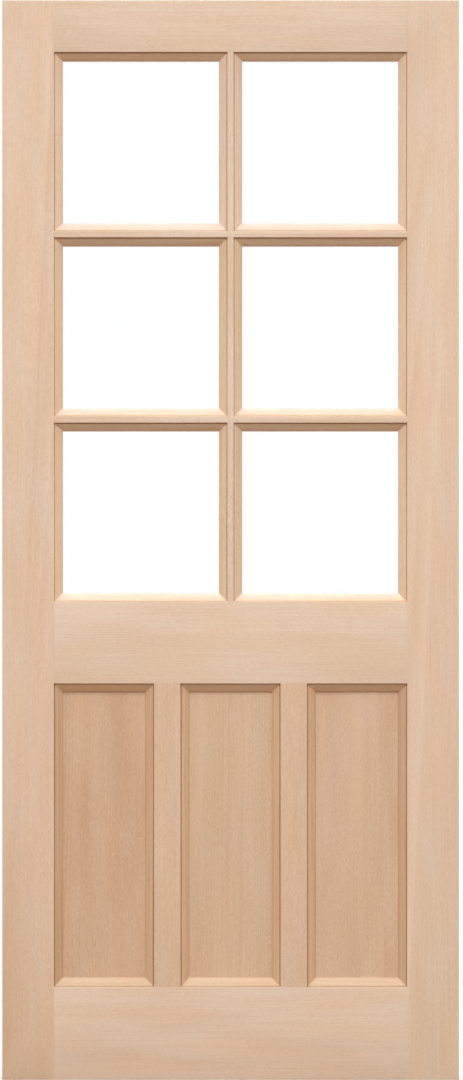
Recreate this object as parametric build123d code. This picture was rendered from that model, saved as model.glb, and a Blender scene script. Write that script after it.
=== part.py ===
from build123d import *
from collections import namedtuple
import os

# A part-glazed exterior door leaf in softwood, in millimetres.
# X runs from the hinge edge to the lock edge, Y from the outside face to the inside face, and Z up.
# The origin is the centre of the hinge edge.

# Leaf
leaf_width = 838
leaf_height = 1981
leaf_thickness = 44

# Flat faces of the framing, seen between the mouldings
stile_width = 95
top_rail_width = 95
middle_rail_width = 150
bottom_rail_width = 170
muntin_width = 49
glazing_bar_width = 11.5
panel_height = 557

# Moulding worked on the framing: a sunk quirk beside the flat face, a slightly bowed slope and a square lip
moulding_width = 15.5
moulding_depth = 15
quirk_drop = 4.2
quirk_flat = 1.5
slope_start = 1.8
slope_drop = 3.4
slope_bow = 0.6
lip_drop = 1.5

# Panels, loose in their grooves across the grain
panel_thickness = 14
panel_edge_gap = 3

# Sealed glass units in rebates, with loose beads on the inside face
pane_thickness = 4
cavity_thickness = 6
glass_edge_gap = 3
spacer_width = 6
spacer_inset = 2
bead_width = 11.5
bead_mitre_gap = 0.3

# Tenons of the rails and muntins
tenon_thickness = 12
tenon_shoulder = 18
rail_tenon_length = 60
muntin_tenon_length = 25
muntin_tenon_shoulder = 8

# Stub tenons of the glazing bars
bar_tenon_thickness = 10
bar_tenon_shoulder = 2
bar_tenon_length = 15
crossing_tenon_length = 4

# Room left at the end of each tenon
mortice_end_gap = 1

# Names of the rows and columns of pieces, from the top and from the hinge side
light_rows = ["top", "middle", "bottom"]
light_columns = ["left", "right"]
cross_bar_rows = ["upper", "lower"]
panel_columns = ["left", "middle", "right"]
muntin_columns = ["left", "right"]

Opening = namedtuple("Opening", "left right bottom top")

# Planes that the pieces are set out from
outside_face = -leaf_thickness / 2
inside_face = leaf_thickness / 2
glass_face = outside_face + moulding_depth
panel_face = outside_face + moulding_depth
glass_back = glass_face + 2 * pane_thickness + cavity_thickness
panel_back = panel_face + panel_thickness

leaf_bottom = -leaf_height / 2
leaf_top = leaf_height / 2
bottom_rail_top = leaf_bottom + bottom_rail_width
middle_rail_bottom = bottom_rail_top + panel_height
middle_rail_top = middle_rail_bottom + middle_rail_width
top_rail_bottom = leaf_top - top_rail_width
hinge_stile_edge = stile_width
lock_stile_edge = leaf_width - stile_width


def spans(start, end, count, divider):
    """Equal clear spans from start to end, with a divider of the given width between each two."""
    span = (end - start - (count - 1) * divider) / count
    return [(start + n * (span + divider), start + n * (span + divider) + span) for n in range(count)]


light_spans = spans(hinge_stile_edge, lock_stile_edge, len(light_columns), glazing_bar_width)
light_levels = spans(middle_rail_top, top_rail_bottom, len(light_rows), glazing_bar_width)[::-1]
panel_spans = spans(hinge_stile_edge, lock_stile_edge, len(panel_columns), muntin_width)
panels = [Opening(left, right, bottom_rail_top, middle_rail_bottom) for left, right in panel_spans]
lights = [[Opening(*span, *level) for span in light_spans] for level in light_levels]


def block(left, right, front, back, bottom, top):
    """A square-edged block between three pairs of planes."""
    centre = ((left + right) / 2, (front + back) / 2, (bottom + top) / 2)
    return Pos(*centre) * Box(right - left, back - front, top - bottom)


def inset(opening, margin):
    """An opening made smaller by a margin on every side."""
    left, right, bottom, top = opening
    return Opening(left + margin, right - margin, bottom + margin, top - margin)


def sheet(opening, front, back):
    """A flat sheet that fills an opening between two depths."""
    return block(opening.left, opening.right, front, back, opening.bottom, opening.top)


def moulding_section(width, depth):
    """Section of the moulding: a sunk quirk beside the flat face, a bowed slope and a square lip."""
    top_of_slope = (slope_start, slope_drop)
    foot_of_slope = (width, depth - lip_drop)
    outline = Polyline(foot_of_slope, (width, depth), (0, depth), (0, quirk_drop))
    outline += Polyline((0, quirk_drop), (quirk_flat, quirk_drop), top_of_slope)
    outline += SagittaArc(top_of_slope, foot_of_slope, -slope_bow)
    return make_face(outline)


def mitred_strip(run, width, depth):
    """A length of moulding along X with both ends mitred, its long side on Y = 0 and its face on Z = 0."""
    length = extrude(Plane.YZ * moulding_section(width, depth), run / 2, both=True)
    short_half = run / 2 - width
    corners = [(-run / 2, 0), (run / 2, 0), (short_half, width), (-short_half, width)]
    between_mitres = extrude(make_face(Polyline(*corners, close=True)), depth)
    return length & between_mitres


def moulding(opening, side, face, width, depth, end_gap=0):
    """The moulding along one side of an opening, measured in from the outside or the inside face."""
    left, right, bottom, top = opening
    middle = ((left + right) / 2, (bottom + top) / 2)
    edges = {
        "left": ((left, middle[1]), Vector(1, 0, 0), top - bottom),
        "right": ((right, middle[1]), Vector(-1, 0, 0), top - bottom),
        "bottom": ((middle[0], bottom), Vector(0, 0, 1), right - left),
        "top": ((middle[0], top), Vector(0, 0, -1), right - left),
    }
    (x, z), into_opening, run = edges[side]
    into_leaf = Vector(0, 1, 0) if face == outside_face else Vector(0, -1, 0)
    seat = Plane((x, face, z), x_dir=into_opening.cross(into_leaf), z_dir=into_leaf)
    return seat * mitred_strip(run - end_gap, width, depth)


def light_moulding(opening, side):
    """The moulding in front of the glass on one side of a light; the rebate behind it is left open."""
    return moulding(opening, side, outside_face, moulding_width, moulding_depth)


def panel_mouldings(opening, side):
    """The outside and inside mouldings on one side of a panel; the groove is the gap between them."""
    outside = moulding(opening, side, outside_face, moulding_width, moulding_depth)
    inside = moulding(opening, side, inside_face, moulding_width, inside_face - panel_back)
    return outside + inside


def rail_tenons(bottom, top, end_gap=0):
    """The tenons at both ends of a rail in one block, or with an end gap the mortices that take them."""
    reach = rail_tenon_length + end_gap
    half = tenon_thickness / 2
    low = bottom + tenon_shoulder
    high = top - tenon_shoulder
    return block(hinge_stile_edge - reach, lock_stile_edge + reach, -half, half, low, high)


def muntin_tenons(left, right, end_gap=0):
    """The tenons at the foot and head of a muntin in one block, or the mortices that take them."""
    reach = muntin_tenon_length + end_gap
    half = tenon_thickness / 2
    near = left + muntin_tenon_shoulder
    far = right - muntin_tenon_shoulder
    return block(near, far, -half, half, bottom_rail_top - reach, middle_rail_bottom + reach)


def upright_bar_tenons(left, right, end_gap=0):
    """The stub tenons at the foot and head of the vertical glazing bar, or their mortices."""
    reach = bar_tenon_length + end_gap
    half = bar_tenon_thickness / 2
    near = left + bar_tenon_shoulder
    far = right - bar_tenon_shoulder
    return block(near, far, -half, half, middle_rail_top - reach, top_rail_bottom + reach)


def cross_bar_tenons(left, right, bottom, top, end_gap=0):
    """The stub tenons of a cross bar, longer in a stile than in a vertical bar, or their mortices."""
    left_length = bar_tenon_length if left == hinge_stile_edge else crossing_tenon_length
    right_length = bar_tenon_length if right == lock_stile_edge else crossing_tenon_length
    half = bar_tenon_thickness / 2
    near = left - left_length - end_gap
    far = right + right_length + end_gap
    return block(near, far, -half, half, bottom + bar_tenon_shoulder, top - bar_tenon_shoulder)


# Where the cross bars, the vertical bar and the muntins stand, between the openings
cross_bar_levels = [(below[1], above[0]) for above, below in zip(light_levels, light_levels[1:])]
upright_bar_spans = [(near[1], far[0]) for near, far in zip(light_spans, light_spans[1:])]
muntin_spans = [(near[1], far[0]) for near, far in zip(panel_spans, panel_spans[1:])]
rail_levels = [(leaf_bottom, bottom_rail_top), (middle_rail_bottom, middle_rail_top), (top_rail_bottom, leaf_top)]


def stile(left, right, column, side):
    """A stile, the full height of the leaf, moulded beside each light and panel and morticed for the rails."""
    member = block(left, right, outside_face, inside_face, leaf_bottom, leaf_top)
    for row in lights:
        member += light_moulding(row[column], side)
    member += panel_mouldings(panels[column], side)
    for bottom, top in rail_levels:
        member -= rail_tenons(bottom, top, mortice_end_gap)
    for bottom, top in cross_bar_levels:
        member -= cross_bar_tenons(hinge_stile_edge, lock_stile_edge, bottom, top, mortice_end_gap)
    return member


def rail(bottom, top):
    """The plain blank of a rail between the stiles, with its tenons."""
    blank = block(hinge_stile_edge, lock_stile_edge, outside_face, inside_face, bottom, top)
    return blank + rail_tenons(bottom, top)


def top_rail():
    """The top rail, moulded over the top lights."""
    member = rail(top_rail_bottom, leaf_top)
    for light in lights[0]:
        member += light_moulding(light, "top")
    for left, right in upright_bar_spans:
        member -= upright_bar_tenons(left, right, mortice_end_gap)
    return member


def middle_rail():
    """The middle rail, moulded under the bottom lights and over the panels."""
    member = rail(middle_rail_bottom, middle_rail_top)
    for light in lights[-1]:
        member += light_moulding(light, "bottom")
    for panel in panels:
        member += panel_mouldings(panel, "top")
    for left, right in upright_bar_spans:
        member -= upright_bar_tenons(left, right, mortice_end_gap)
    for left, right in muntin_spans:
        member -= muntin_tenons(left, right, mortice_end_gap)
    return member


def bottom_rail():
    """The bottom rail, moulded under the panels."""
    member = rail(leaf_bottom, bottom_rail_top)
    for panel in panels:
        member += panel_mouldings(panel, "bottom")
    for left, right in muntin_spans:
        member -= muntin_tenons(left, right, mortice_end_gap)
    return member


def muntin(number):
    """A muntin between two panels, moulded on both edges and tenoned into the rails."""
    left, right = muntin_spans[number]
    member = block(left, right, outside_face, inside_face, bottom_rail_top, middle_rail_bottom)
    member += muntin_tenons(left, right)
    member += panel_mouldings(panels[number], "right")
    member += panel_mouldings(panels[number + 1], "left")
    return member


def upright_bar(number):
    """A vertical glazing bar in one length, rebated for the glass and morticed for the cross bars."""
    left, right = upright_bar_spans[number]
    member = block(left, right, outside_face, inside_face, middle_rail_top, top_rail_bottom)
    member += upright_bar_tenons(left, right)
    for row in lights:
        member += light_moulding(row[number], "right")
        member += light_moulding(row[number + 1], "left")
    for bottom, top in cross_bar_levels:
        for near, far in light_spans:
            member -= cross_bar_tenons(near, far, bottom, top, mortice_end_gap)
    return member


def cross_bar(row, column):
    """A short horizontal glazing bar between two lights."""
    left, right = light_spans[column]
    bottom, top = cross_bar_levels[row]
    member = block(left, right, outside_face, inside_face, bottom, top)
    member += cross_bar_tenons(left, right, bottom, top)
    member += light_moulding(lights[row][column], "bottom")
    member += light_moulding(lights[row + 1][column], "top")
    return member


def panel_board(opening):
    """A flat panel, with its edges in the grooves round it."""
    return sheet(inset(opening, panel_edge_gap), panel_face, panel_back)


def spacer(opening):
    """The bar between the two panes of a sealed unit, a closed ring set in from their edges."""
    rim = glass_edge_gap + spacer_inset
    front = glass_face + pane_thickness
    back = front + cavity_thickness
    return sheet(inset(opening, rim), front, back) - sheet(inset(opening, rim + spacer_width), front, back)


def beads(opening):
    """The four loose beads that hold the glass on the inside face, mitred at the corners."""
    depth = inside_face - glass_back
    sides = ("left", "right", "bottom", "top")
    strips = [moulding(opening, side, inside_face, bead_width, depth, bead_mitre_gap) for side in sides]
    return Compound([strip.solid() for strip in strips])


pieces = {
    "hinge_stile": stile(0, stile_width, 0, "left"),
    "lock_stile": stile(lock_stile_edge, leaf_width, -1, "right"),
    "top_rail": top_rail(),
    "middle_rail": middle_rail(),
    "bottom_rail": bottom_rail(),
    "vertical_glazing_bar": upright_bar(0),
}
for number, place in enumerate(muntin_columns):
    pieces[f"{place}_muntin"] = muntin(number)
for row, level in enumerate(cross_bar_rows):
    for column, place in enumerate(light_columns):
        pieces[f"{level}_{place}_glazing_bar"] = cross_bar(row, column)
for place, opening in zip(panel_columns, panels):
    pieces[f"{place}_panel"] = panel_board(opening)
for level, row in zip(light_rows, lights):
    for place, opening in zip(light_columns, row):
        glass = inset(opening, glass_edge_gap)
        light = f"{level}_{place}"
        pieces[f"{light}_outer_pane"] = sheet(glass, glass_face, glass_face + pane_thickness)
        pieces[f"{light}_inner_pane"] = sheet(glass, glass_back - pane_thickness, glass_back)
        pieces[f"{light}_spacer"] = spacer(opening)
        pieces[f"{light}_glazing_beads"] = beads(opening)

os.makedirs("parts", exist_ok=True)
for name, shape in pieces.items():
    export_step(shape, f"parts/{name}.step")
print(len(pieces), "pieces written")
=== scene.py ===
import math
import bmesh
import bpy
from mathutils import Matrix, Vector


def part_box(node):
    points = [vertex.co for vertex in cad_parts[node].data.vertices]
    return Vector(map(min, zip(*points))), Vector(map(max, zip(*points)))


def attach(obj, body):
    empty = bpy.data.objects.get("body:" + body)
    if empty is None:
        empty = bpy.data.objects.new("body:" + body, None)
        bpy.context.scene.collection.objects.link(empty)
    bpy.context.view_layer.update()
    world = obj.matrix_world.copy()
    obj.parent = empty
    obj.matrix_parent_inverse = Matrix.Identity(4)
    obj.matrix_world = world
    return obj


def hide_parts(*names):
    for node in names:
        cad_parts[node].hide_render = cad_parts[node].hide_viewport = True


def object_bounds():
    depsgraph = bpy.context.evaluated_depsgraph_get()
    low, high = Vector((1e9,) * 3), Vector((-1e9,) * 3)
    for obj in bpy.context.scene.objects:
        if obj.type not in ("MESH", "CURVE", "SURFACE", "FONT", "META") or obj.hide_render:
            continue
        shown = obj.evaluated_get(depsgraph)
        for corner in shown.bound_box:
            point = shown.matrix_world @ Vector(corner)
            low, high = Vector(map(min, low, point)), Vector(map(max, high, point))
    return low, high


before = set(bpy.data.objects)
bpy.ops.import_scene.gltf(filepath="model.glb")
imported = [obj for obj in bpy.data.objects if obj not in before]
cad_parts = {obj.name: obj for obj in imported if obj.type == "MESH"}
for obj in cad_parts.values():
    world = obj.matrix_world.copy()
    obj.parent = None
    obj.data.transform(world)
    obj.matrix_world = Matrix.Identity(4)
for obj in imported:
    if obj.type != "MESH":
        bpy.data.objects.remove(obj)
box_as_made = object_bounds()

# Stiles
# The two uprights of the leaf, each one length of planed softwood from foot to head. The rails are tenoned
# into them. Their inner edges are worked beside every light and panel with the leaf's moulding, a sunk quirk,
# a bowed slope and a square lip.

leaf_low, leaf_high = box_as_made
edge_gap = 0.003
light_rows = ("top", "middle", "bottom")
light_columns = ("left", "right")
panel_columns = ("left", "middle", "right")


def opening_round(node):
    """The opening (left, right, bottom, top) round a board or a pane, which stops short of its edges."""
    low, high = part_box(node)
    return (low.x - edge_gap, high.x + edge_gap, low.z - edge_gap, high.z + edge_gap)


lights = {(row, side): opening_round(f"{row}_{side}_outer_pane")
          for row in light_rows for side in light_columns}
panels = {side: opening_round(f"{side}_panel") for side in panel_columns}
stile_inner = lights["top", "left"][0]
far_stile_inner = lights["top", "right"][1]
panel_foot, panel_head = panels["left"][2:]
top_lights_foot = lights["top", "left"][2]

moulding_width = 0.0155
moulding_depth = 0.015
quirk_drop = 0.0042
quirk_flat = 0.0015
slope_start = 0.0018
slope_drop = 0.0034
slope_bow = 0.0006
lip_drop = 0.0015
arris = 0.0006
arris_steps = 4
bow_steps = 12


def bowed(start, end, bow, steps):
    """Points along a shallow arc between two points, which swells out by its bow in the middle."""
    start, end = Vector(start), Vector(end)
    half = (end - start).length / 2
    radius = (half * half + bow * bow) / (2 * bow)
    along = (end - start).normalized()
    out = Vector((along.y, -along.x))
    centre = (start + end) / 2 - out * (radius - bow)
    reach = math.asin(half / radius)
    turns = [reach * (2 * n / steps - 1) for n in range(steps + 1)]
    return [tuple(centre + out * radius * math.cos(turn) + along * radius * math.sin(turn)) for turn in turns]


def moulding_line(width):
    """Points (in from the edge, down from the face) over the arris, quirk, bowed slope and lip."""
    turns = [math.pi / 2 * n / arris_steps for n in range(arris_steps + 1)]
    line = [(arris * (math.sin(turn) - 1), arris * (1 - math.cos(turn))) for turn in turns]
    line += [(0, quirk_drop), (quirk_flat, quirk_drop)]
    line += bowed((slope_start, slope_drop), (width, moulding_depth - lip_drop), slope_bow, bow_steps)
    line.append((width, moulding_depth))
    return line


saw_room = 0.005
outside_face = leaf_low.y
inside_face = leaf_high.y
panel_front, panel_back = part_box("middle_panel")[0].y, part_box("middle_panel")[1].y


def worked_line(front_and_back):
    """Points (in from the member's edge, y) from before the leaf to behind it, round a panel or a light."""
    front = [(inward, outside_face + down) for inward, down in moulding_line(moulding_width)]
    line = [(front[0][0], outside_face - saw_room)] + front
    if front_and_back:
        back = [(inward, inside_face - down) for inward, down in reversed(moulding_line(moulding_width))]
        return line + [(0, panel_front), (0, panel_back)] + back + [(back[-1][0], inside_face + saw_room)]
    return line + [(0, outside_face + moulding_depth), (0, inside_face + saw_room)]


def cut_away(mesh, opening, line):
    """Adds the solid that is worked out of an opening: one rectangle for each point of the line, in order."""
    left, right, bottom, top = opening
    rings = []
    for inward, y in line:
        corners = [(left + inward, bottom + inward), (right - inward, bottom + inward),
                   (right - inward, top - inward), (left + inward, top - inward)]
        rings.append([mesh.verts.new((x, y, z)) for x, z in corners])
    for near, far in zip(rings, rings[1:]):
        for n in range(4):
            mesh.faces.new((near[n], near[n - 1], far[n - 1], far[n]))
    mesh.faces.new(rings[0])
    mesh.faces.new(rings[-1][::-1])


def solid_object(name, mesh):
    """A Blender object from a closed mesh in the making."""
    bmesh.ops.recalc_face_normals(mesh, faces=mesh.faces)
    data = bpy.data.meshes.new(name)
    mesh.to_mesh(data)
    mesh.free()
    made = bpy.data.objects.new(name, data)
    bpy.context.scene.collection.objects.link(made)
    return made


def openings_solid():
    """Everything that is worked out of the framing at the lights and panels."""
    mesh = bmesh.new()
    for opening in lights.values():
        cut_away(mesh, opening, worked_line(front_and_back=False))
    for opening in panels.values():
        cut_away(mesh, opening, worked_line(front_and_back=True))
    return solid_object("openings", mesh)


leaf_arris = 0.0012


def trimmed_leaf():
    """The outside shape of the whole leaf, with its long arrises eased, that every member is trimmed to."""
    mesh = bmesh.new()
    bmesh.ops.create_cube(mesh, size=1)
    centre, size = (leaf_low + leaf_high) / 2, leaf_high - leaf_low
    for vertex in mesh.verts:
        vertex.co = Vector(centre[n] + vertex.co[n] * size[n] for n in range(3))
    bmesh.ops.bevel(mesh, geom=mesh.edges[:], offset=leaf_arris, segments=arris_steps, profile=0.5,
                    affect="EDGES")
    return solid_object("leaf", mesh)


openings = openings_solid()
leaf = trimmed_leaf()
wing = 0.02
joint_gap = 0.00005


def edge_run(start, end, spans):
    """Points (along an edge, out from it), with a mitred wing standing out into each opening beside it."""
    run = [(start, 0)]
    for near, far in spans:
        run += [(near, 0), (near + wing, wing), (far - wing, wing), (far, 0)]
    run.append((end, 0))
    return [point for n, point in enumerate(run) if n == 0 or point != run[n - 1]]


def member_outline(left, right, bottom, top, wings):
    """The outline (x, z) of a sawn member; wings gives the spans of the openings beside each of its edges."""
    points = [(x, bottom - out) for x, out in edge_run(left, right, wings.get("bottom", ()))]
    points += [(right + out, z) for z, out in edge_run(bottom, top, wings.get("right", ()))][1:]
    points += [(x, top + out) for x, out in edge_run(left, right, wings.get("top", ()))[::-1]][1:]
    points += [(left - out, z) for z, out in edge_run(bottom, top, wings.get("left", ()))[::-1]][1:-1]
    return points


def drawn_in(points, gap):
    """The outline made smaller by half a glue line all round."""
    made = []
    for n, point in enumerate(points):
        here = Vector(point)
        before = (here - Vector(points[n - 1])).normalized()
        after = (Vector(points[(n + 1) % len(points)]) - here).normalized()
        side_before, side_after = Vector((-before.y, before.x)), Vector((-after.y, after.x))
        made.append(here + (side_before + side_after) * gap / (1 + side_before.dot(side_after)))
    return made


def sawn_blank(outline):
    """The member sawn to its outline, thicker than the leaf."""
    mesh = bmesh.new()
    front = [mesh.verts.new((x, outside_face - saw_room, z)) for x, z in outline]
    back = [mesh.verts.new((x, inside_face + saw_room, z)) for x, z in outline]
    mesh.faces.new(front)
    mesh.faces.new(back[::-1])
    for n in range(len(outline)):
        mesh.faces.new((front[n - 1], front[n], back[n], back[n - 1]))
    return solid_object("blank", mesh)


def grain_along(data, upright, tree_offset, vertices=None):
    """Writes where each point lies in the tree, in metres: across the board, through it and along it."""
    grain = data.attributes.get("grain") or data.attributes.new("grain", "FLOAT_VECTOR", "POINT")
    for n in vertices or range(len(data.vertices)):
        x, y, z = data.vertices[n].co
        across, along = (x, z) if upright else (z, x)
        grain.data[n].vector = Vector((across, y, along)) + Vector(tree_offset)


# Painted shade on the mouldings, where shade falls in the quirks, on the heads and beside the panels, and
# painted highlight on the sills, as a tone for each point: above 0 darker, below 0 paler. sawn_ends is the
# darker end grain of the uprights.
moulding_shade = 0.42
sill_shade_and_highlight = (0.18, -0.5)
shade_beside_top_lights = 0.05
quirk_shade_beside_lights = 0.75
lip_shade_by_panel = 0.85
lip_shade_by_glass = 0.9
sawn_ends = 0.75
hair = 0.00001


def painted_light_and_end_grain(data, upright, shade_by_panels, shade_by_lights, sill):
    """Writes the painted shade at each point, up to 1, or the painted highlight, below 0, and the darker end
    grain at the uprights' sawn ends; sill is for (top, lip).
    """
    tone = data.attributes.new("painted_light_and_end_grain", "FLOAT", "POINT")
    levels = [vertex.co.z for vertex in data.vertices]
    middle = (min(levels) + max(levels)) / 2
    lip_level = moulding_depth - lip_drop
    for n, vertex in enumerate(data.vertices):
        level = vertex.co.z
        down = min(vertex.co.y - outside_face, inside_face - vertex.co.y)
        on_slope = slope_drop - hair < down < lip_level - hair
        on_lip = lip_level - hair < down < moulding_depth + hair
        round_panel = level < panel_head + hair
        if upright and not leaf_low.z + hair < level < leaf_high.z - hair:
            tone.data[n].value = sawn_ends
        elif not upright and level > middle:
            if on_slope or on_lip:
                far_down = min((down - slope_drop) / (lip_level - slope_drop), 1.0)
                tone.data[n].value = sill[0] + (sill[1] - sill[0]) * far_down
        elif abs(down - quirk_drop) < hair:
            tone.data[n].value = quirk_shade_beside_lights if upright and not round_panel else 1.0
        elif on_slope and round_panel:
            tone.data[n].value = shade_by_panels
        elif on_slope:
            tone.data[n].value = shade_beside_top_lights if upright and level > top_lights_foot else shade_by_lights
        elif on_lip:
            tone.data[n].value = lip_shade_by_panel if round_panel else lip_shade_by_glass


flat_enough = 0.9999
sharp_corner = math.radians(35)


def smooth_curves_only(data):
    """Shades the curved facets smooth and leaves each true flat flat."""
    for face in data.polygons:
        face.use_smooth = max(abs(part) for part in face.normal) < flat_enough
    data.set_sharp_from_angle(angle=sharp_corner)


def framing_member(node, outline, upright, tree_offset, wood,
                   shade_by_panels=moulding_shade, shade_by_lights=moulding_shade, sill=sill_shade_and_highlight):
    """Works a member from its sawn blank, in place of the CAD node of the same name."""
    blank = sawn_blank(drawn_in(outline, joint_gap))
    for operation, tool in (("INTERSECT", leaf), ("DIFFERENCE", openings)):
        working = blank.modifiers.new(operation, "BOOLEAN")
        working.operation, working.object, working.solver = operation, tool, "EXACT"
    shaped = blank.evaluated_get(bpy.context.evaluated_depsgraph_get())
    data = bpy.data.meshes.new_from_object(shaped)
    data.name = f"{node}_worked"
    bpy.data.objects.remove(blank)
    piece = bpy.data.objects.new(f"{node}_worked", data)
    bpy.context.scene.collection.objects.link(piece)
    grain_along(data, upright, tree_offset)
    # Painted shade and highlight on the mouldings, and the darker end grain, as a tone for each point.
    painted_light_and_end_grain(data, upright, shade_by_panels, shade_by_lights, sill)
    smooth_curves_only(data)
    data.materials.clear()
    data.materials.append(wood)
    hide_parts(node)
    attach(piece, "root")
    return piece


def wired(tree, kind, inputs=(), **settings):
    """A shader node with its settings, and each input set to a number, a colour or another node's output."""
    made = tree.nodes.new(kind)
    for setting, value in settings.items():
        setattr(made, setting, value)
    for socket, value in dict(inputs).items():
        if isinstance(value, bpy.types.NodeSocket):
            tree.links.new(value, made.inputs[socket])
        else:
            made.inputs[socket].default_value = value
    return made


def sums(tree, operation, first, second):
    """The result of one sum on two numbers or outputs."""
    return wired(tree, "ShaderNodeMath", {0: first, 1: second}, operation=operation).outputs[0]


def flecks(tree, place, across, along, detail=2.0):
    """Soft noise about one half, drawn out along the grain; across and along are counts to the metre."""
    stretched = wired(tree, "ShaderNodeVectorMath", {0: place, 1: (across, across, along)},
                      operation="MULTIPLY")
    noise = wired(tree, "ShaderNodeTexNoise", {"Vector": stretched.outputs[0], "Scale": 1.0,
                                               "Detail": detail})
    return noise.outputs["Fac"]


ring_width = 0.0021
waver = 0.012
waver_across, waver_along = 7.0, 1.1
wide_and_narrow_years = 3.0
spells_to_metre, strong_years_to_metre = 55.0, 130.0
late_wood_starts, late_wood_darkest = 0.45, 0.86


def year_rings(tree, place):
    """From 0 in the pale early wood to 1 at the dark late wood of each year, round the heart of the tree."""
    wander = wired(tree, "ShaderNodeVectorMath", {0: place, 1: (waver_across, waver_across, waver_along)},
                   operation="MULTIPLY")
    drift = wired(tree, "ShaderNodeTexNoise", {"Vector": wander.outputs[0], "Scale": 1.0, "Detail": 2.0})
    centred = wired(tree, "ShaderNodeVectorMath", {0: drift.outputs["Color"], 1: (0.5, 0.5, 0.5)},
                    operation="SUBTRACT")
    pushed = wired(tree, "ShaderNodeVectorMath", {0: centred.outputs[0], 1: (waver, waver, 0.0), 2: place},
                   operation="MULTIPLY_ADD")
    level = wired(tree, "ShaderNodeVectorMath", {0: pushed.outputs[0], 1: (1.0, 1.0, 0.0)},
                  operation="MULTIPLY")
    radius = wired(tree, "ShaderNodeVectorMath", {0: level.outputs[0]}, operation="LENGTH").outputs["Value"]
    slow = wired(tree, "ShaderNodeTexNoise", {"W": radius, "Scale": spells_to_metre, "Detail": 1.0},
                 noise_dimensions="1D")
    years = sums(tree, "DIVIDE", radius, ring_width)
    years = sums(tree, "ADD", years, sums(tree, "MULTIPLY", slow.outputs["Fac"], wide_and_narrow_years))
    late = wired(tree, "ShaderNodeValToRGB", {"Fac": sums(tree, "FRACT", years, 0.0)})
    ramp = late.color_ramp
    ramp.elements[0].position, ramp.elements[0].color = late_wood_starts, (0, 0, 0, 1)
    ramp.elements[1].position, ramp.elements[1].color = late_wood_darkest, (1, 1, 1, 1)
    ramp.elements.new(1.0).color = (0, 0, 0, 1)
    strong = wired(tree, "ShaderNodeTexNoise", {"W": radius, "Scale": strong_years_to_metre, "Detail": 2.0},
                   noise_dimensions="1D")
    return sums(tree, "MULTIPLY", late.outputs["Color"], strong.outputs["Fac"])


# Marks in the wood: how many to the metre across and along the grain, and how fine their detail is
fibres_to_metre = (620.0, 7.0, 3.0)
pores_to_metre = (2600.0, 60.0, 2.0)
dashes_to_metre = (560.0, 110.0, 1.0)
stipple_to_metre = (800.0, 560.0, 0.0)
clouds_to_metre = (22.0, 3.5, 2.0)
flushes_to_metre = (30.0, 6.0, 1.0)
streaks_in_shade_and_end_grain_to_metre = (330.0, 4.0, 1.0)

# How strongly they show, and where year rings and the streaks in the painted shade have their middle
fibre_strength = 1.1
pore_strength = 0.35
dash_strength = 1.8
stipple_strength = 1.2
ring_strength = 0.75
ring_strength_in_shade_and_end_grain = 2.0
ring_middle = 0.13
streak_strength = 7.0
streak_middle = 3.1


def wood_tone(tree, place, shade_and_end_grain, rings, fibres, pores, figure, drift):
    """How pale each point is, about one half, from the rings, the streaks laid in the painted shade and end
    grain, and the other marks; the rings show stronger there too.
    """
    ring_pull = sums(tree, "ADD", sums(tree, "MULTIPLY", shade_and_end_grain, -ring_strength_in_shade_and_end_grain),
                     -ring_strength * figure)
    tone = sums(tree, "MULTIPLY", rings, ring_pull)
    streaks = sums(tree, "MULTIPLY", flecks(tree, place, *streaks_in_shade_and_end_grain_to_metre),
                   sums(tree, "MULTIPLY", shade_and_end_grain, streak_strength))
    streaks = sums(tree, "SUBTRACT", streaks, sums(tree, "MULTIPLY", shade_and_end_grain, streak_middle))
    tone = sums(tree, "ADD", tone, streaks)
    marks = ((fibres, fibre_strength * figure),
             (pores, pore_strength),
             (flecks(tree, place, *dashes_to_metre), dash_strength),
             (flecks(tree, place, *stipple_to_metre), stipple_strength),
             (flecks(tree, place, *clouds_to_metre), drift))
    for mark, strength in marks:
        tone = sums(tree, "ADD", tone, sums(tree, "MULTIPLY", mark, strength))
    middle = sum(strength for _, strength in marks) / 2 - ring_middle * figure
    return sums(tree, "ADD", tone, 0.5 - middle)


def tinted(tree, colour, factor, tint):
    """The colour multiplied by a tint, as far as the factor says."""
    mixed = wired(tree, "ShaderNodeMix", {"Factor": factor, 6: colour, 7: (*tint, 1)}, data_type="RGBA",
                  blend_type="MULTIPLY")
    return mixed.outputs[2]


butt_end_whole, butt_end_gone = 0.1, 0.5


def near_butt_end(tree, place, butt_end):
    """From 1 at the butt end of the board, low down in the tree, to 0 half a metre up it."""
    along = wired(tree, "ShaderNodeSeparateXYZ", {0: place}).outputs["Z"]
    near = wired(tree, "ShaderNodeMapRange", {"Value": along, "From Min": butt_end + butt_end_gone,
                                              "From Max": butt_end + butt_end_whole})
    return near.outputs[0]


rosy_flush = (1.0, 0.955, 0.90)
flush_starts, flush_whole = 0.34, 0.66
# Tints for the painted highlight on the sills, and for the painted shade on the mouldings and the darker end
# grain.
sill_highlight_tint = (1.0, 1.06, 1.30)
warm_shade_and_end_grain_tint = (1.0, 0.955, 0.85)
deep_shade_and_end_grain_tint = (0.55, 0.38, 0.26)
between_fibres, on_fibres = 0.3, 0.7
duller, shinier = 0.62, 0.52
fibre_relief, pore_relief, ring_relief = 0.6, 0.4, 0.5
relief = 0.00008


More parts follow.
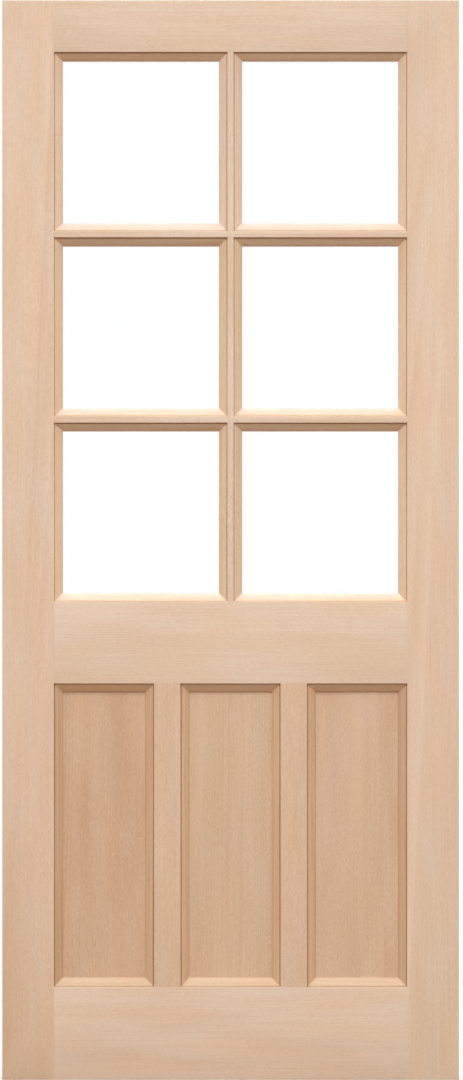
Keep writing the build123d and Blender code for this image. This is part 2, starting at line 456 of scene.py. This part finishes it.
def planed_wood(name, pale, deep, rosy=rosy_flush, figure=1.0, drift=0.8,
                butt_end=None, butt_tint=None, curled=None):
    """Bare planed softwood; figure is the strength of its rings and fibres, and drift that of its clouds."""
    wood = bpy.data.materials.new(name)
    wood.use_nodes = True
    tree = wood.node_tree
    tree.nodes.clear()
    place = wired(tree, "ShaderNodeAttribute", attribute_name="grain").outputs["Vector"]
    # Painted shade (above 0) and painted highlight (below 0) on the mouldings, with the darker end grain,
    # come in from a point attribute.
    worked = wired(tree, "ShaderNodeAttribute", attribute_name="painted_light_and_end_grain").outputs["Fac"]
    shade_and_end_grain = sums(tree, "MAXIMUM", worked, 0.0)
    rings = year_rings(tree, place)
    fibres = flecks(tree, place, *fibres_to_metre)
    pores = flecks(tree, place, *pores_to_metre)
    tone = wood_tone(tree, place, shade_and_end_grain, rings, fibres, pores, figure, drift)
    if curled:
        tone = curled(tree, place, tone)
    shade = wired(tree, "ShaderNodeMix", {"Factor": tone, 6: (*deep, 1), 7: (*pale, 1)}, data_type="RGBA",
                  clamp_factor=True)
    warmth = wired(tree, "ShaderNodeMapRange", {"Value": flecks(tree, place, *flushes_to_metre),
                                                "From Min": flush_starts, "From Max": flush_whole})
    colour = tinted(tree, shade.outputs[2], warmth.outputs[0], rosy)
    if butt_tint:
        colour = tinted(tree, colour, near_butt_end(tree, place, butt_end), butt_tint)
    # Painted highlight on the sills where the attribute is below 0; painted shade where it is above 0, warmer
    # at half strength and deep brown at its darkest, the same on end grain.
    colour = tinted(tree, colour, sums(tree, "MULTIPLY", worked, -1.0), sill_highlight_tint)
    half_dark = sums(tree, "MULTIPLY", sums(tree, "MULTIPLY", shade_and_end_grain, 4.0), sums(tree, "SUBTRACT", 1.0, shade_and_end_grain))
    colour = tinted(tree, colour, half_dark, warm_shade_and_end_grain_tint)
    colour = tinted(tree, colour, sums(tree, "POWER", shade_and_end_grain, 2.0), deep_shade_and_end_grain_tint)
    polish = wired(tree, "ShaderNodeMapRange", {"Value": fibres, "From Min": between_fibres,
                                                "From Max": on_fibres, "To Min": duller, "To Max": shinier})
    height = sums(tree, "ADD", sums(tree, "MULTIPLY", fibres, fibre_relief),
                  sums(tree, "MULTIPLY", pores, pore_relief))
    height = sums(tree, "ADD", height, sums(tree, "MULTIPLY", rings, ring_relief))
    bump = wired(tree, "ShaderNodeBump", {"Height": height, "Strength": 0.5, "Distance": relief})
    shader = wired(tree, "ShaderNodeBsdfPrincipled", {
        "Base Color": colour, "Roughness": polish.outputs[0], "Normal": bump.outputs["Normal"],
        "IOR": 1.45, "Specular IOR Level": 0.35})
    out = wired(tree, "ShaderNodeOutputMaterial")
    tree.links.new(shader.outputs[0], out.inputs["Surface"])
    return wood


stile_pale, stile_deep = (0.849, 0.676, 0.532), (0.768, 0.576, 0.428)
hinge_stile_wood = planed_wood(
    "hinge_stile_wood", stile_pale, stile_deep, drift=1.0, butt_end=2.01, butt_tint=(0.94, 0.91, 0.84))
lock_stile_wood = planed_wood(
    "lock_stile_wood", stile_pale, stile_deep, figure=1.6, drift=0.6,
    butt_end=8.01, butt_tint=(1.03, 1.07, 1.06))
# Painted shade on the stiles' mouldings beside the panels and beside the lights.
shade_by_stile_panels, shade_by_stile_lights = 0.66, 0.24
beside_left = [panels["left"][2:]] + [lights[row, "left"][2:] for row in reversed(light_rows)]
beside_right = [panels["right"][2:]] + [lights[row, "right"][2:] for row in reversed(light_rows)]
foot, head = leaf_low.z - saw_room, leaf_high.z + saw_room

framing_member(
    "hinge_stile", member_outline(leaf_low.x - saw_room, stile_inner, foot, head, {"right": beside_left}),
    upright=True, tree_offset=(0.16, 0.06, 3.0), wood=hinge_stile_wood,
    shade_by_panels=shade_by_stile_panels, shade_by_lights=shade_by_stile_lights)
framing_member(
    "lock_stile", member_outline(far_stile_inner, leaf_high.x + saw_room, foot, head, {"left": beside_right}),
    upright=True, tree_offset=(-1.05, 0.09, 9.0), wood=lock_stile_wood,
    shade_by_panels=shade_by_stile_panels, shade_by_lights=shade_by_stile_lights)

# Rails
# Top, middle and bottom rails of the same planed softwood with the grain running across the leaf. Each is a
# board of its own, tenoned and glued into both stiles, and moulded where it meets a light or a panel.

rail_woods = {
    rail: planed_wood(f"{rail}_rail_wood", pale=(0.847, 0.689, 0.549), deep=(0.771, 0.592, 0.451), figure=2.0,
                      drift=drift)
    for rail, drift in (("top", 1.6), ("middle", 0.9), ("bottom", 1.9))}
# Painted shade on the sills under the panels.
panel_sill_shade = (0.5, 0.5)
over_lights = [lights["top", side][:2] for side in light_columns]
over_panels = [panels[side][:2] for side in panel_columns]
light_head = lights["top", "left"][3]
light_foot = lights["bottom", "left"][2]

framing_member(
    "top_rail", member_outline(stile_inner, far_stile_inner, light_head, head, {"bottom": over_lights}),
    upright=False, tree_offset=(-0.70, 0.10, 1.0), wood=rail_woods["top"])
framing_member(
    "middle_rail",
    member_outline(stile_inner, far_stile_inner, panel_head, light_foot,
                   {"bottom": over_panels, "top": over_lights}),
    upright=False, tree_offset=(0.42, 0.07, 5.0), wood=rail_woods["middle"])
framing_member(
    "bottom_rail", member_outline(stile_inner, far_stile_inner, foot, panel_foot, {"top": over_panels}),
    upright=False, tree_offset=(1.12, 0.12, 12.0), wood=rail_woods["bottom"], sill=panel_sill_shade)

# Muntins
# Two short uprights of the same softwood between the panels, tenoned into the middle and bottom rails. Both
# edges are moulded and grooved for the panels.

muntin_wood = planed_wood("muntin_wood", pale=(0.798, 0.602, 0.444), deep=(0.70, 0.499, 0.344), figure=1.2)
beside_panels = {edge: [(panel_foot, panel_head)] for edge in ("left", "right")}
for name, near, far, tree_offset in (
    ("left_muntin", "left", "middle", (-0.15, 0.05, 2.0)),
    ("right_muntin", "middle", "right", (-0.30, 0.08, 7.0)),
):
    framing_member(
        name, member_outline(panels[near][1], panels[far][0], panel_foot, panel_head, beside_panels),
        upright=True, tree_offset=tree_offset, wood=muntin_wood)

# Glazing bars
# One slender upright bar of the same softwood from the middle rail to the top rail, and four short bars
# tenoned between it and the stiles. Each is moulded on both sides outside and is a plain rebated web behind.

curls_to_metre = (330.0, 150.0, 1.0)
curl_middle, curl_reach, curl_strength = 15.04, 0.12, 5.0


def curled_grain(tree, place, tone):
    """Adds short curls to the grain of the upright bar beside the bottom lights."""
    along = wired(tree, "ShaderNodeSeparateXYZ", {0: place}).outputs["Z"]
    away = sums(tree, "ABSOLUTE", sums(tree, "SUBTRACT", along, curl_middle), 0.0)
    fading = wired(tree, "ShaderNodeMapRange", {"Value": away, "From Max": curl_reach,
                                                "To Min": curl_strength, "To Max": 0.0})
    curl = sums(tree, "SUBTRACT", flecks(tree, place, *curls_to_metre), 0.5)
    return sums(tree, "ADD", tone, sums(tree, "MULTIPLY", curl, fading.outputs[0]))


bar_wood = planed_wood("bar_wood", pale=(0.842, 0.682, 0.55), deep=(0.74, 0.569, 0.428), figure=2.0,
                       curled=curled_grain)
# Painted shade on the bars' mouldings, and painted highlight on the lips of the top lights' sills.
shade_by_upright_bar, shade_by_cross_bars = 0.32, 0.28
top_light_sill_highlight = (0.0, -0.6)
light_levels = [lights[row, "left"][2:] for row in reversed(light_rows)]
framing_member(
    "vertical_glazing_bar",
    member_outline(lights["top", "left"][1], lights["top", "right"][0], light_foot, light_head,
                   {"left": light_levels, "right": light_levels}),
    upright=True, tree_offset=(-0.30, 0.05, 15.0), wood=bar_wood, shade_by_lights=shade_by_upright_bar)
for level, above, below, sill in (
    ("upper", "top", "middle", top_light_sill_highlight),
    ("lower", "middle", "bottom", sill_shade_and_highlight),
):
    for number, side in enumerate(light_columns):
        left, right, bar_top, _ = lights[above, side]
        bar_bottom = lights[below, side][3]
        framing_member(
            f"{level}_{side}_glazing_bar",
            member_outline(left, right, bar_bottom, bar_top,
                           {"bottom": [(left, right)], "top": [(left, right)]}),
            upright=False, tree_offset=(0.2 * number - bar_top, 0.07, 4.0 + number), wood=bar_wood,
            shade_by_lights=shade_by_cross_bars, sill=sill)
bpy.data.objects.remove(openings)
bpy.data.objects.remove(leaf)

# Panels
# Three flat softwood boards with upright grain, a little darker than the framing. They sit loose in the
# grooves, so that they can move, and the mouldings hide their edges.

board_arris = 0.001
shadow_line = 0.0018
shadow_line_at_foot = 0.0002
field_area = 0.05


def panel_board(name, low, high):
    """A flat board with eased edges, and rings of points round its fields that carry a painted shadow line by
    the moulding.
    """
    mesh = bmesh.new()
    bmesh.ops.create_cube(mesh, size=1)
    for vertex in mesh.verts:
        vertex.co = Vector((low[n] + high[n]) / 2 + vertex.co[n] * (high[n] - low[n]) for n in range(3))
    bmesh.ops.bevel(mesh, geom=mesh.edges[:], offset=board_arris, segments=2, profile=0.5, affect="EDGES")
    sight_edge = moulding_width - edge_gap
    for y, facing in ((low.y, -1), (high.y, 1)):
        field = [face for face in mesh.faces if face.normal.y * facing > flat_enough]
        bmesh.ops.inset_region(mesh, faces=field, thickness=sight_edge - board_arris)
        bmesh.ops.inset_region(mesh, faces=field, thickness=shadow_line)
        for vertex in field[0].verts:
            if vertex.co.z < (low.z + high.z) / 2:
                vertex.co.z = low.z + sight_edge + shadow_line_at_foot
    mesh.verts.index_update()
    inner = {vertex.index for face in mesh.faces if face.calc_area() > field_area for vertex in face.verts}
    board = solid_object(name, mesh)
    # Painted shade all round the edge of each field: a shadow line where the moulding meets the board.
    tone = board.data.attributes.new("painted_light_and_end_grain", "FLOAT", "POINT")
    for n in range(len(board.data.vertices)):
        tone.data[n].value = 0.0 if n in inner else 1.0
    return board


full_flush, faint_flush = (1.0, 0.95, 0.90), (1.0, 0.965, 0.93)
for side, pale, deep, rosy, figure, drift, tree_offset in (
    ("left", (0.727, 0.522, 0.365), (0.626, 0.42, 0.276), full_flush, 0.9, 1.6, (-0.10, 0.11, 6.0)),
    ("middle", (0.756, 0.566, 0.406), (0.659, 0.46, 0.309), faint_flush, 1.0, 1.0, (-0.425, 0.10, 11.0)),
    ("right", (0.763, 0.569, 0.409), (0.665, 0.46, 0.314), faint_flush, 0.6, 2.1, (-0.72, 0.13, 17.0)),
):
    piece = panel_board(f"{side}_panel_board", *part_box(f"{side}_panel"))
    panel_wood = planed_wood(f"{side}_panel_wood", pale, deep, rosy, figure, drift)
    grain_along(piece.data, upright=True, tree_offset=tree_offset)
    smooth_curves_only(piece.data)
    piece.data.materials.append(panel_wood)
    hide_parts(f"{side}_panel")
    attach(piece, "root")

# Sealed glass units
# Two sheets of clear float glass to each light, held apart at the rim by a mill aluminium spacer bar that
# stands behind the mouldings.

faint_green = (0.996, 1.0, 0.998)
rolls_to_metre = 4.0
glass_roll = 0.0002


def clear_glass():
    """Clear float glass that lets lamp light straight through, with the faintest roll of its surface."""
    glass = bpy.data.materials.new("clear_float_glass")
    glass.use_nodes = True
    tree = glass.node_tree
    tree.nodes.clear()
    place = wired(tree, "ShaderNodeTexCoord").outputs["Object"]
    roll = wired(tree, "ShaderNodeTexNoise", {"Vector": place, "Scale": rolls_to_metre, "Detail": 1.0})
    bump = wired(tree, "ShaderNodeBump", {"Height": roll.outputs["Fac"], "Strength": 0.1,
                                          "Distance": glass_roll})
    tint = wired(tree, "ShaderNodeMix", {"Factor": roll.outputs["Fac"], 6: (*faint_green, 1),
                                         7: (1, 1, 1, 1)}, data_type="RGBA")
    shader = wired(tree, "ShaderNodeBsdfPrincipled", {
        "Base Color": tint.outputs[2], "Roughness": 0.0, "IOR": 1.5, "Transmission Weight": 1.0,
        "Normal": bump.outputs["Normal"]})
    clear = wired(tree, "ShaderNodeBsdfTransparent")
    path = wired(tree, "ShaderNodeLightPath")
    mixed = wired(tree, "ShaderNodeMixShader", {0: path.outputs["Is Shadow Ray"], 1: shader.outputs[0],
                                                2: clear.outputs[0]})
    out = wired(tree, "ShaderNodeOutputMaterial")
    tree.links.new(mixed.outputs[0], out.inputs["Surface"])
    return glass


dull_metal, bright_metal = (0.55, 0.56, 0.57), (0.78, 0.79, 0.80)
rolling_marks_to_metre = (900.0, 300.0)
least_dull, most_dull = 0.3, 0.5


def mill_aluminium():
    """Mill finish aluminium with fine rolling marks."""
    metal = bpy.data.materials.new("mill_aluminium")
    metal.use_nodes = True
    tree = metal.node_tree
    tree.nodes.clear()
    place = wired(tree, "ShaderNodeTexCoord").outputs["Object"]
    marks = flecks(tree, place, *rolling_marks_to_metre)
    colour = wired(tree, "ShaderNodeMix", {"Factor": marks, 6: (*dull_metal, 1), 7: (*bright_metal, 1)},
                   data_type="RGBA")
    dull = wired(tree, "ShaderNodeMapRange", {"Value": marks, "To Min": least_dull, "To Max": most_dull})
    shader = wired(tree, "ShaderNodeBsdfPrincipled", {
        "Base Color": colour.outputs[2], "Roughness": dull.outputs[0], "Metallic": 1.0})
    out = wired(tree, "ShaderNodeOutputMaterial")
    tree.links.new(shader.outputs[0], out.inputs["Surface"])
    return metal


glass, aluminium = clear_glass(), mill_aluminium()
for row, side in lights:
    for node, finish, slot in (("outer_pane", glass, "clear_glass"), ("inner_pane", glass, "clear_glass"),
                               ("spacer", aluminium, "spacer_metal")):
        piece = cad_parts[f"{row}_{side}_{node}"]
        piece.data.materials.clear()
        piece.data.materials.append(finish)

# Glazing beads
# Loose beads of the same softwood on the inside face, with the leaf's moulding, mitred at the corners of each
# light. They are sprung in against the glass, so that a broken unit can be changed.

bead_wood = planed_wood("bead_wood", pale=(0.84, 0.65, 0.50), deep=(0.75, 0.54, 0.395))
glass_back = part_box("top_left_inner_pane")[1].y
bead_width = 0.0115
mitre_gap = 0.00015


def bead(mesh, seat, along, inward, run):
    """One mitred bead; seat is the middle of its long edge on the inside face. Returns its points."""
    line = moulding_line(bead_width)[arris_steps + 1:] + [(0, inside_face - glass_back)]
    ends = []
    for hand in (-1, 1):
        half = [run / 2 - mitre_gap - u for u, _ in line]
        ends.append([mesh.verts.new(seat + along * hand * reach + inward * u - Vector((0, v, 0)))
                     for reach, (u, v) in zip(half, line)])
    mesh.faces.new(ends[0])
    mesh.faces.new(ends[1][::-1])
    for n in range(len(line)):
        mesh.faces.new((ends[0][n - 1], ends[0][n], ends[1][n], ends[1][n - 1]))
    return ends[0] + ends[1]


for number, ((row, side), (left, right, bottom, top)) in enumerate(lights.items()):
    across, up = Vector((1, 0, 0)), Vector((0, 0, 1))
    middle_x, middle_z = (left + right) / 2, (bottom + top) / 2
    mesh = bmesh.new()
    bead(mesh, Vector((left, inside_face, middle_z)), up, across, top - bottom)
    bead(mesh, Vector((right, inside_face, middle_z)), up, -across, top - bottom)
    uprights = len(mesh.verts)
    bead(mesh, Vector((middle_x, inside_face, bottom)), across, up, right - left)
    bead(mesh, Vector((middle_x, inside_face, top)), across, -up, right - left)
    piece = solid_object(f"{row}_{side}_beads", mesh)
    grain_along(piece.data, upright=True, tree_offset=(-0.3, 0.1, 2.0 + number), vertices=range(uprights))
    grain_along(piece.data, upright=False, tree_offset=(-0.6, 0.1, 8.0 + number),
                vertices=range(uprights, len(piece.data.vertices)))
    smooth_curves_only(piece.data)
    piece.data.materials.append(bead_wood)
    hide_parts(f"{row}_{side}_glazing_beads")
    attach(piece, "root")

# Floor and light
# A pale studio floor under the leaf, a large soft lamp high in front of it, a weaker one behind, and an
# even white surround.

floor_reach = 4.0
floor_as_seen = (0.84, 0.835, 0.83)
floor_as_it_lights = (0.37, 0.25, 0.175)
fade_starts, fade_ends = 0.6, 2.2
floor_mesh = bmesh.new()
bmesh.ops.create_grid(floor_mesh, x_segments=1, y_segments=1, size=floor_reach)
floor = solid_object("studio_floor", floor_mesh)
floor.location = (leaf_high.x / 2, 0, leaf_low.z)
pale_floor = bpy.data.materials.new("pale_floor")
pale_floor.use_nodes = True
tree = pale_floor.node_tree
tree.nodes.clear()
place = wired(tree, "ShaderNodeTexCoord").outputs["Object"]
distance = wired(tree, "ShaderNodeVectorMath", {0: place}, operation="LENGTH").outputs["Value"]
far = wired(tree, "ShaderNodeMapRange", {"Value": distance, "From Min": fade_starts, "From Max": fade_ends},
            interpolation_type="SMOOTHSTEP")
path = wired(tree, "ShaderNodeLightPath")
seen = sums(tree, "MAXIMUM", path.outputs["Is Camera Ray"], path.outputs["Is Transmission Ray"])
paint = wired(tree, "ShaderNodeMix", {"Factor": seen, 6: (*floor_as_it_lights, 1), 7: (*floor_as_seen, 1)},
              data_type="RGBA")
matt = wired(tree, "ShaderNodeBsdfDiffuse", {"Color": paint.outputs[2]})
white = wired(tree, "ShaderNodeEmission", {"Color": (1, 1, 1, 1), "Strength": 1.0})
fade = sums(tree, "MULTIPLY", seen, far.outputs[0])
mixed = wired(tree, "ShaderNodeMixShader", {0: fade, 1: matt.outputs[0], 2: white.outputs[0]})
out = wired(tree, "ShaderNodeOutputMaterial")
tree.links.new(mixed.outputs[0], out.inputs["Surface"])
floor.data.materials.append(pale_floor)

light_from_below = (0.43, 0.285, 0.20)
light_from_above = (0.76, 0.765, 0.77)
skyline = 0.15
surround = bpy.data.worlds.new("white_surround")
bpy.context.scene.world = surround
surround.use_nodes = True
tree = surround.node_tree
tree.nodes.clear()
path = wired(tree, "ShaderNodeLightPath")
seen = sums(tree, "MAXIMUM", path.outputs["Is Camera Ray"], path.outputs["Is Transmission Ray"])
seen = sums(tree, "MAXIMUM", seen, path.outputs["Is Glossy Ray"])
backdrop = wired(tree, "ShaderNodeBackground", {"Color": (1, 1, 1, 1), "Strength": 1.0})
heading = wired(tree, "ShaderNodeSeparateXYZ", {0: wired(tree, "ShaderNodeTexCoord").outputs["Generated"]})
rising = wired(tree, "ShaderNodeMapRange", {"Value": heading.outputs["Z"], "From Min": -skyline,
                                            "From Max": skyline})
sky = wired(tree, "ShaderNodeMix", {"Factor": rising.outputs[0], 6: (*light_from_below, 1),
                                    7: (*light_from_above, 1)}, data_type="RGBA")
ambient = wired(tree, "ShaderNodeBackground", {"Color": sky.outputs[2], "Strength": 1.0})
mixed = wired(tree, "ShaderNodeMixShader", {0: seen, 1: ambient.outputs[0], 2: backdrop.outputs[0]})
out = wired(tree, "ShaderNodeOutputWorld")
tree.links.new(mixed.outputs[0], out.inputs["Surface"])

lamp_distance, lamp_height = 3.214, 3.83
lamp_size, lamp_spread = 1.05, math.radians(55.6)
front_power, back_power = 14.4, 13


def soft_lamp(name, place, aim, power):
    """A square soft box that the camera doesn't see, with its light kept to a cone."""
    lamp = bpy.data.lights.new(name, "AREA")
    lamp.shape, lamp.size, lamp.energy, lamp.spread = "SQUARE", lamp_size, power, lamp_spread
    box = bpy.data.objects.new(name, lamp)
    box.location = place
    box.rotation_euler = (Vector(aim) - Vector(place)).to_track_quat("-Z", "Y").to_euler()
    box.visible_camera = False
    bpy.context.scene.collection.objects.link(box)


leaf_middle = (leaf_low + leaf_high) / 2
leaf_foot = Vector((leaf_middle.x, 0, leaf_low.z))
soft_lamp("front_lamp", leaf_middle + Vector((0, -lamp_distance, lamp_height)), leaf_foot, front_power)
soft_lamp("back_lamp", leaf_middle + Vector((0, lamp_distance, lamp_height)), leaf_foot, back_power)

# Camera
# It looks square on at the leaf from mid height, far enough away for the small spread that the photo shows.
# Its picture is as high as the photo, with the leaf in the same place.

photo_width, photo_height = 463, 1080
metres_a_pixel = 0.0018351
leaf_centre_column = 230.55
view_distance = 6.0
long_side_sensor = 36.0

camera = bpy.data.cameras.new("camera")
camera.sensor_width = long_side_sensor
camera.lens = long_side_sensor * view_distance / (photo_height * metres_a_pixel)
camera.clip_end = 100
stand = bpy.data.objects.new("camera", camera)
sideways = (photo_width / 2 - leaf_centre_column) * metres_a_pixel
stand.location = (leaf_middle.x + sideways, outside_face - view_distance, leaf_middle.z)
stand.rotation_euler = (math.pi / 2, 0, 0)
bpy.context.scene.collection.objects.link(stand)
bpy.context.scene.camera = stand
bpy.context.scene.view_settings.view_transform = "Standard"
